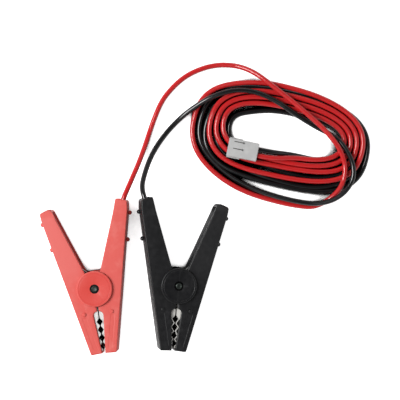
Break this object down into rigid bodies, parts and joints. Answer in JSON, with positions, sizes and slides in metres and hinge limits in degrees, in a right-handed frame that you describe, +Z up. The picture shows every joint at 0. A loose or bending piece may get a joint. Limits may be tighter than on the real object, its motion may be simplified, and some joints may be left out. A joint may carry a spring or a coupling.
{
  "type": "battery clamp lead",
  "caption": "Pair of sprung insulated battery clamps, red and black, on a long wound two-core lead that ends in a small two-way plug.",
  "frame": {"origin": "on the surface that the part lies on, under the middle of the box round the two clamps", "axes": "+Z up; +Y from the jaws towards the handles and the wound lead; +X from the red clamp to the black one"},
  "size_m": [0.1889, 0.1672, 0.0221],
  "materials": {
    "red_plastic": "moulded, satin",
    "black_plastic": "moulded, satin",
    "red_sheath": "smooth soft sheath, glossy",
    "black_sheath": "smooth soft sheath, glossy",
    "nylon": "moulded, matt light grey",
    "nickel_sheet": "nickel plated, pressed",
    "steel": "plain, bright",
    "copper": "bare stranded wire"
  },
  "bodies": {
    "clamps_and_lead": {"red_cable_arm": "red_plastic", "red_cable_jaw": "nickel_sheet", "red_pivot_rivet": "steel", "red_jaw_pin": "red_plastic", "red_torsion_spring": "steel", "red_crimp_sleeve": "nickel_sheet", "red_conductor_end": "copper", "red_lead": "red_sheath", "red_coil": "red_sheath", "black_cable_arm": "black_plastic", "black_cable_jaw": "nickel_sheet", "black_pivot_rivet": "steel", "black_jaw_pin": "black_plastic", "black_torsion_spring": "steel", "black_crimp_sleeve": "nickel_sheet", "black_conductor_end": "copper", "black_lead": "black_sheath", "black_coil": "black_sheath", "connector_housing": "nylon", "red_contact": "nickel_sheet", "black_contact": "nickel_sheet"},
    "red_free_side": {"red_free_arm": "red_plastic", "red_free_jaw": "nickel_sheet", "red_free_pin": "red_plastic"},
    "black_free_side": {"black_free_arm": "black_plastic", "black_free_jaw": "nickel_sheet", "black_free_pin": "black_plastic"}
  },
  "joints": [
    {"name": "red_jaw_hinge", "type": "hinge", "parent": "clamps_and_lead", "child": "red_free_side", "pos_m": [-0.02189, -0.00724, 0.01001], "axis": [0.0432, 0.0061, -0.999], "range_deg": [0, 30], "stiffness_Nm_per_rad": 0.4, "springref_deg": -57.3, "deforming": ["red_torsion_spring"]},
    {"name": "black_jaw_hinge", "type": "hinge", "parent": "clamps_and_lead", "child": "black_free_side", "pos_m": [0.02428, -0.00548, 0.01106], "axis": [0.1473, -0.0121, 0.989], "range_deg": [0, 30], "stiffness_Nm_per_rad": 0.4, "springref_deg": -57.3, "deforming": ["black_torsion_spring"]}
  ]
}
